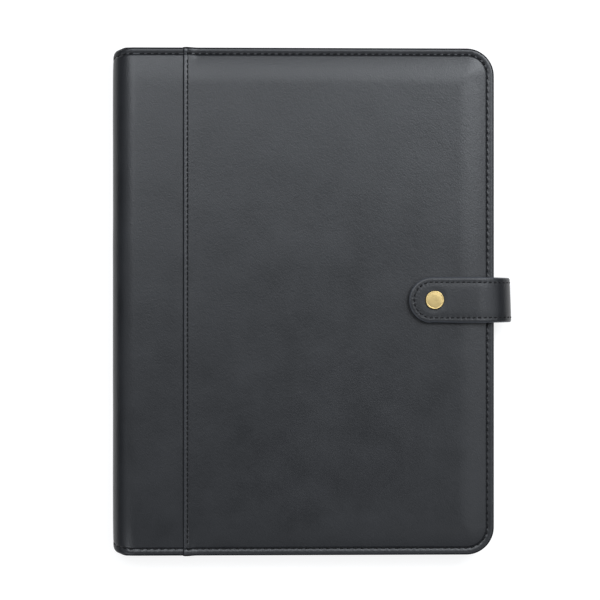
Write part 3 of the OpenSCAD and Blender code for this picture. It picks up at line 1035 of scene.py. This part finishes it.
def pen_loop():
    """A strip of leather bent into a loop, with its tail sewn down beside the sleeve."""
    low, high = box_mm("pen_loop")
    wall = 1.0
    radius = (high[2] - low[2]) / 2
    cx = low[0] + radius
    cz = high[2] - radius
    mid = radius - wall / 2
    a = np.radians(np.linspace(270, -52, 72))
    tail = np.linspace(high[0] + 4, cx + 1.0, 8)
    x = np.concatenate([tail, cx + mid * np.cos(a)])
    z = np.concatenate([np.full(len(tail), cz - mid), cz + mid * np.sin(a)])
    b = Build()
    ribbon(b, x, z, low[1], high[1], wall)
    tie(b.make("pen_loop_leather", INNER, EDGE), "root", "lining_leather", "pen_loop")


def pad():
    """The writing pad: leaves with slightly uneven edges, and cloth tape over the head."""
    low, high = box_mm("pad_pages")
    sleeve_top = box_mm("pad_sleeve")[1]
    b = Build()
    leaf_t = 0.25
    blocks = ((low[1], sleeve_top[2] + 0.2, high[2]),
              (sleeve_top[1] + 8, low[2], sleeve_top[2] + 0.15))
    for y0, z0, z1 in blocks:
        shape = round_box(low[0], high[0], y0, high[1], (1.2, 0.3, 0.3, 1.2), 2.5)
        count = int(round((z1 - z0) / leaf_t))
        rings = []
        for k in range(count):
            inset = abs(rng.normal(0.05, 0.06))
            for part in (0.05, 0.95):
                rings.append(b.level(shape.inset(inset), z0 + (k + part) * (z1 - z0) / count))
        b.tube(rings)
    tie(b.make("pad_leaves", PAPER), "pad", "paper", "pad_pages")

    low, high = box_mm("pad_binding")
    t = 0.4
    top = high[2] - t / 2
    head, turn = high[1] - t / 2, np.radians([30, 60])
    y = np.concatenate([[low[1], low[1] + 6, high[1] - 1.2], head - 1 + np.sin(turn), [head] * 3])
    z = np.concatenate([[top] * 3, top - 1 + np.cos(turn),
                        [top - 1.2, (low[2] + top) / 2, low[2]]])
    along = unit(np.gradient(np.column_stack([y, z]), axis=0))
    out = np.column_stack([-along[:, 1], along[:, 0]]) * t / 2
    b = Build()
    rows = []
    for x, s in ((low[0], -1), (high[0], -1), (high[0], 1), (low[0], 1)):
        edge = np.column_stack([y, z]) + s * out
        rows.append(b.add(np.column_stack([np.full(len(y), x), edge])))
    b.tube(np.array(rows).T, flip=True)
    tie(b.make("pad_tape", TAPE), "pad", "binding_tape", "pad_binding")


# ---- The strap ----

STRAP_T = 1.2
STRAP_STITCH = 3.3
STRAP_PITCH = 3.5
STRAP_LONG = 2.6
STRAP_THREAD_W = 0.85
STRAP_SINK = 0.17            # depth of the stitches' valley in the strap
STRAP_EDGE_WEAR_AND_HIGHLIGHT = 1.3             # how much lighter the strap's edge is painted: a scuffed raw edge and a painted highlight on its bevel
STRAP_RINGS = [0, 0.08, 0.2, 0.35, 0.55, 0.72, 0.9, 1.2, 1.5, 1.9, 2.3, 2.7, 2.95, 3.15, 3.3,
               3.45, 3.65, 3.95, 4.4, 5.2, 6.6, 8.6, 11.2]
STRAP_EASE = 12.5            # how far before the fore edge the strap begins to bend down
STRAP_KINK = 0.35            # how far the lower side runs in before the round tip
STRAP_SLACK = 1.0            # how much closer the drawn strap lies than the CAD one
STRAP_NARROW = 0.022         # share of its width that the strap loses round the fore edge
STRAP_SKEW = 0.035           # slant of the strap's outer end


class StrapPath:
    """The strap's middle line, from inside the back cover round the fore edge to its tip."""

    def __init__(self):
        outermost = box_mm("strap_bridge_outer")[1][0] - STRAP_SLACK
        top = box_mm("strap_bridge_outer")[1][2]
        root_low, root_high = box_mm("strap_root")
        start_x, root_z = root_low[0], (root_low[2] + root_high[2]) / 2
        foot_x = FORE_X + 0.5
        mid_z = top - STRAP_T
        low_r = outermost - STRAP_T - foot_x
        centre_z = root_z + low_r
        flat_x = FORE_X - STRAP_EASE
        wide, high = foot_x + low_r - flat_x, mid_z - centre_z
        tip_x = tongue_low[0]
        low_arc = np.radians(np.arange(270, 360, 3.0))
        high_arc = np.radians(np.arange(0, 90.1, 1.5))
        x = np.concatenate([
            np.linspace(start_x, foot_x, 18)[:-1], foot_x + low_r * np.cos(low_arc),
            flat_x + wide * np.cos(high_arc), np.linspace(flat_x, tip_x, 60)[1:]])
        z = np.concatenate([
            np.full(17, root_z), centre_z + low_r * np.sin(low_arc),
            centre_z + high * np.sin(high_arc), np.full(59, mid_z)])
        self.line = np.column_stack([x, z])
        self.length = length_along(self.line)
        self.foot = foot_x - start_x
        self.middle = self.length[17 + len(low_arc)]
        self.flat = self.length[17 + len(low_arc) + len(high_arc) - 1]
        self.end = self.length[-1]

    def at(self, u, v, offset):
        """Points in millimetres at a length u, a place v across and a height over the line."""
        x, z = self.point(u)
        next_x, next_z = self.point(u + 0.6)
        last_x, last_z = self.point(u - 0.6)
        ahead = unit(np.stack([next_x - last_x, next_z - last_z], axis=-1))
        nx, nz = ahead[..., 1], -ahead[..., 0]
        out = smooth((u - self.foot) / (self.middle - self.foot))
        out = out * (1 - smooth((u - self.middle) / (self.flat - self.middle)))
        skew = -STRAP_SKEW * v * out
        return np.stack([
            x + nx * offset + skew, STRAP_Y + v * (1 - STRAP_NARROW * out), z + nz * offset,
        ], axis=-1)

    def point(self, u):
        """X and Z at a length along the line."""
        return (np.interp(u, self.length, self.line[:, 0]),
                np.interp(u, self.length, self.line[:, 1]))


def strap_face(d, along, near_cap):
    """Height of a strap leather's free face over its smooth face."""
    dimple = -0.25 * bump_at(near_cap, 6.0, 1.4)
    return sewn_edge(d, along, STRAP_STITCH, STRAP_PITCH, STRAP_SINK, 1.9, 2.0) + dimple


def thickness(u, path):
    """Share of the full thickness: the strap is skived thin inside the cover's edge."""
    return 0.42 + 0.58 * smooth((u - path.foot - 0.2) / 2.5)


def strap_outline(u0, u1, tip):
    """The strap's sides as lengths along it and places across, with outward normals.

    A round tip is cut by hand, so that it meets the lower side in a slight kink.
    """
    half = STRAP_W / 2
    run_end = u1 - half if tip else u1
    run = steps(u0, run_end, 0.8)
    ones = np.ones(len(run))
    kink = STRAP_KINK * smooth((run - run_end + 22) / 22) if tip else 0 * run
    u, v = [run], [kink - half]
    nu, nv = [0 * run], [-ones]
    if tip:
        a = np.radians(np.linspace(-90, 90, 58)[1:-1])
        u.append(run_end + half * np.cos(a))
        v.append(half * np.sin(a))
        nu.append(np.cos(a))
        nv.append(np.sin(a))
    u.append(run[::-1])
    v.append(half * ones)
    nu.append(0 * run)
    nv.append(ones)
    return [np.concatenate(part) for part in (u, v, nu, nv)], len(run)


def strap_shell(name, path, u0, u1, side, tip, material):
    """One leather of the strap between two lengths, with a round tip or a square end."""
    half = STRAP_W / 2
    (u, v, nu, nv), count = strap_outline(u0, u1, tip)
    along = length_along(np.column_stack([u, v]))
    cap_u = path.flat + (path.point(path.flat)[0] - CAP_X)
    b = Build()
    top, worn_and_lit_rows = [], []
    for d in [*STRAP_RINGS, half]:
        pu, pv = u - d * nu, v - d * nv
        pv = np.where(d == half, 0.0, pv)
        near = np.hypot(pu - cap_u, pv)
        lift = STRAP_T * thickness(pu, path) + strap_face(d, along, near)
        top.append(b.add(path.at(pu, pv, side * lift)))
        # The outer ring of the strap is painted lighter: scuffed raw edge and painted highlight
        # on the bevel
        worn_and_lit_rows.append(np.full(len(u), STRAP_EDGE_WEAR_AND_HIGHLIGHT * (1 - smooth((d - 0.55) / 0.35))))
    b.grid(np.array(top), flip=side < 0)
    low = []
    for d in (0.0, 5.0, half):
        pu, pv = u - d * nu, v - d * nv
        pv = np.where(d == half, 0.0, pv)
        low.append(b.add(path.at(pu, pv, np.zeros(len(pu)))))
        worn_and_lit_rows.append(np.zeros(len(u)))
    b.grid(np.array(low), flip=side > 0)
    b.quads(top[0], low[0], slot=1, flip=side > 0)
    ends = [(0, len(u) - 1)]
    if not tip:
        ends.append((count - 1, count))
    for j, k in ends:
        loop = [q[j] for q in top] + [q[k] for q in top[::-1]]
        b.face(loop + [q[k] for q in low] + [q[j] for q in low[::-1]], slot=1)
    worn_and_lit = np.concatenate(worn_and_lit_rows)
    return b.make(name, material, EDGE, weld=0.01, wear_and_highlight=lambda p: worn_and_lit)


def strap_stitches(name, path, u0, u1, tip, sides):
    """Stitches on both faces of the strap, along its sides and round its tip."""
    half = STRAP_W / 2 - STRAP_STITCH
    centre = path.end - STRAP_W / 2
    run = steps(u0, min(u1, centre), 0.5)
    if tip:
        a = np.radians(np.linspace(-90, 90, 60)[1:-1])
        u = np.concatenate([run, centre + half * np.cos(a), run[::-1]])
        v = np.concatenate([np.full(len(run), -half), half * np.sin(a), np.full(len(run), half)])
        lines = [(u, v)]
    else:
        lines = [(run, np.full(len(run), -half)), (run, np.full(len(run), half))]
    b = Build()
    for lu, lv in lines:
        at, ahead = stitch_places(np.column_stack([lu, lv]), STRAP_PITCH)
        for side in sides:
            face = side * (STRAP_T * thickness(at[:, 0], path) - 0.28)
            p = path.at(at[:, 0], at[:, 1], face)
            q = path.at(at[:, 0] + ahead[:, 0], at[:, 1] + ahead[:, 1], face)
            n = path.at(at[:, 0], at[:, 1], face + side) - p
            stitches(b, p, q - p, n, STRAP_LONG, STRAP_THREAD_W, slant_deg=6, rise=0.30)
    return b.make(name, THREAD)


def strap():
    """The strap in two lengths that meet where it stands out furthest."""
    path = StrapPath()
    bend, flap = joint_mm("strap_bend"), joint_mm("strap_flap")
    low_line = [(x * MM, 0, bend[2] * MM) for x in (FORE_X - 0.1, FORE_X + 8)]
    reach = 9.0
    high_line = [(x * MM, 0, flap[2] * MM) for x in (flap[0] + reach, flap[0] - reach)]
    lengths = (
        ("low", 0.0, path.middle, False, ("root", "strap_bridge"), low_line,
         ("strap_root", "strap_bridge_outer"), ("strap_bridge_lining",), ()),
        ("high", path.middle, path.end, True, ("strap_bridge", "strap_tongue"), high_line,
         ("strap_tongue_outer",), ("strap_tongue_lining",),
         ("strap_bridge_thread", "strap_tongue_thread")),
    )
    for word, u0, u1, tip, bodies, line, outers, linings, threads in lengths:
        first = path.foot + 4 if word == "low" else u0
        pieces = (
            (strap_shell(f"strap_{word}_leather", path, u0, u1, 1, tip, COVER),
             "cover_leather", outers),
            (strap_shell(f"strap_{word}_lining", path, u0, u1, -1, tip, INNER),
             "lining_leather", linings),
            (strap_stitches(f"strap_{word}_stitches", path, first, u1, tip, (1, -1)),
             "thread", threads),
        )
        for obj, slot, replaced in pieces:
            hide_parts(*replaced)
            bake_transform(obj)


# ---- The press stud ----

def lathe(name, profile, x, y, body, slot, material, replaced, around=72):
    """A turned piece: profile is a closed or axis-to-axis row of radius and height."""
    b = Build()
    turn = np.linspace(0, 2 * math.pi, around, endpoint=False)
    circle = np.column_stack([np.cos(turn), np.sin(turn)])
    rings = [b.level((x, y) + r * circle, z) for r, z in profile]
    b.grid(np.array(rings), closed=True)
    if profile[0][0] > 0.01:
        b.quads(rings[-1], rings[0], closed=True)
    obj = b.make(name, material, weld=0.003, sharp=50)
    return tie(obj, body, slot, *replaced)


def arc_points(r, z, size, start, end, count=8):
    """Points of an arc in a lathe's profile."""
    a = np.radians(np.linspace(start, end, count))
    return [(r + size * math.cos(t), z + size * math.sin(t)) for t in a]


def press_stud():
    """Cap, socket, stud and its foot, turned from brass."""
    x, y = CAP_X, STRAP_Y
    base = tongue_high[2]
    cap_r = (cap_high[0] - cap_low[0]) / 2
    cap_h = cap_high[2] - base
    roll = 0.62
    dome = [(r, base + cap_h - 0.10 - 0.12 * (r / cap_r) ** 2) for r in (0, 1, 2, 3, 3.8)]
    cap = (dome + [(cap_r - 1.5 * roll, base + cap_h - 0.22)]
           + arc_points(cap_r - roll, base + cap_h - roll, roll, 115, 0, 12)
           + [(cap_r - 0.02, base + 0.25), (cap_r - 0.35, base - 0.12), (0, base - 0.12)])
    lathe("snap_cap_brass", cap, x, y, "strap_tongue", "brass", BRASS, ("snap_cap",))

    low, high = box_mm("snap_socket")
    r, bore = (high[0] - low[0]) / 2, 3.2
    z0, z1 = low[2], high[2]
    wall = ([(bore + 0.25, z0), (r - 1.5, z0)] + arc_points(r - 0.5, z0 + 0.55, 0.5, -90, 60, 7)
            + [(r - 0.6, z1 - 0.35), (r, z1 - 0.1), (r, z1), (bore, z1 - 0.6)]
            + arc_points(bore + 0.25, z0 + 0.25, 0.25, 180, 270, 5))
    lathe("snap_socket_brass", wall[::-1], x, y, "strap_tongue", "brass", BRASS,
          ("snap_socket",))

    low, high = box_mm("snap_stud_flange")
    foot_r, z0, z1 = (high[0] - low[0]) / 2, low[2], high[2]
    head_z = box_mm("snap_stud")[1][2]
    stud = ([(0, z0), (foot_r - 0.2, z0)] + arc_points(foot_r - 0.25, z0 + 0.3, 0.25, -60, 90, 6)
            + [(3.2, z1)] + arc_points(2.3 + 0.35, z1 + 0.3, 0.3, 250, 180, 4)
            + arc_points(2.3, head_z - 0.5, 0.5, -60, 90, 9) + [(1.4, head_z - 0.05),
            (1.0, head_z - 0.25), (0, head_z - 0.28)])
    lathe("snap_stud_brass", stud, x, y, "front", "brass", BRASS,
          ("snap_stud", "snap_stud_flange"))


# ---- Build everything ----

front = Cover("front", crown=0.35, ripple=0.10)
back = Cover("back", crown=-0.25, ripple=0.0)
front_path = front.make("front_panel_leather", "front_panel", "front_foam")
back_path = back.make("back_panel_leather", "back_panel", "back_foam")
cover_stitches(front, front_path, "front_edge_stitches", "front_edge_thread", "front_seam_thread")
cover_stitches(back, back_path, "back_edge_stitches", "back_edge_thread", "back_seam_thread")
spine_wrap("front", "spine_wrap_front")
spine_wrap("back", "spine_wrap_back", "spine_wrap_middle", "spine_padding")
spine_stitches("front")
spine_stitches("back", "spine_edge_thread")
spine_lining("front", LINING_JOIN_FRONT)
spine_lining("back", LINING_JOIN_BACK, "spine_lining")
lining_plates()
pockets()
pad_sleeve()
pen_loop()
pad()
strap()
press_stud()

CAD_FINISH = {"front_board": BOARD, "back_board": BOARD, "pad_board": BOARD,
              "snap_rivet": BRASS, "snap_spring": STEEL}
for node, material in CAD_FINISH.items():
    mesh = frame["nodes"][node].data
    mesh.materials.clear()
    mesh.materials.append(material)


# ---- Floor, lights and camera ----

FLOOR_HALF = 25.0            # metres
FLOOR_Z = -0.0002            # just clear of the case


def make_stage():
    """A wide pale floor under the cover."""
    mesh = bpy.data.meshes.new("floor")
    half = FLOOR_HALF
    corners = [(-half, -half, 0), (half, -half, 0), (half, half, 0), (-half, half, 0)]
    mesh.from_pydata(corners, [], [(0, 1, 2, 3)])
    mesh.materials.append(FLOOR)
    floor = bpy.data.objects.new("floor", mesh)
    bpy.context.scene.collection.objects.link(floor)
    floor.location.z = FLOOR_Z


# Softboxes on a dome over the case: angle from straight up, direction from the fore edge
# towards the head, and watts. Most of the light comes from the head side. The watts were
# fitted to the photo's shading.
SOFTBOXES = (
    ("head_fore", 28, 45, 9.2), ("head", 28, 90, 2.6), ("head_spine", 28, 135, 7.1),
    ("top", 14, 120, 1.7), ("fore", 28, 0, 0.8), ("tail_fore", 28, 315, 1.4),
    ("tail", 28, 270, 0.7), ("low_head_fore", 45, 45, 7.5), ("low_fore", 45, 0, 1.7),
    ("low_spine", 45, 180, 0.7), ("low_tail_spine", 45, 225, 4.1),
)
DOME_R = 1.7                 # metres
SOFTBOX_SIZE = 0.62
LIGHT_TINT = (0.957, 1.0, 1.055)
STUDIO_LIGHT = 0.01          # strength of the light from all round
CAMERA_AIM = (-2.33, 1.0, TOP_Z)
CAMERA_DISTANCE = 1.4        # metres
CAMERA_LEAN = 1.7            # degrees towards the spine
FRAME_WIDTH = 389.4          # width of the picture at the top of the cover
SENSOR_WIDTH = 36


def softbox(name, tilt_deg, turn_deg, watts):
    """A square softbox on the dome that faces the middle of the case."""
    tilt, turn = math.radians(tilt_deg), math.radians(turn_deg)
    across = math.sin(tilt)
    out = Vector((across * math.cos(turn), across * math.sin(turn), math.cos(tilt)))
    data = bpy.data.lights.new(name, "AREA")
    data.shape = "SQUARE"
    data.size = SOFTBOX_SIZE
    data.energy = watts
    data.color = LIGHT_TINT
    light = bpy.data.objects.new(name, data)
    light.location = DOME_R * out
    light.rotation_euler = (-out).to_track_quat("-Z", "Y").to_euler()
    bpy.context.scene.collection.objects.link(light)


def make_lights():
    """Softboxes in a dark studio."""
    world = bpy.data.worlds.new("studio")
    world.use_nodes = True
    background = world.node_tree.nodes["Background"].inputs
    background["Color"].default_value = (1.0, 1.0, 1.0, 1)
    background["Strength"].default_value = STUDIO_LIGHT
    bpy.context.scene.world = world
    for box in SOFTBOXES:
        softbox(*box)


def make_camera():
    """Straight above, a little to the spine's side, with a long lens."""
    data = bpy.data.cameras.new("camera")
    camera = bpy.data.objects.new("camera", data)
    lean = math.radians(CAMERA_LEAN)
    back = Vector((-math.sin(lean), 0, math.cos(lean)))
    camera.location = Vector(CAMERA_AIM) * MM + CAMERA_DISTANCE * back
    camera.rotation_euler = (0, -lean, 0)
    data.sensor_width = SENSOR_WIDTH
    data.lens = SENSOR_WIDTH * CAMERA_DISTANCE / (FRAME_WIDTH * MM)
    data.clip_start, data.clip_end = 0.01, 20
    bpy.context.scene.collection.objects.link(camera)
    bpy.context.scene.camera = camera
    bpy.context.scene.view_settings.view_transform = "Standard"


make_stage()
make_lights()
make_camera()
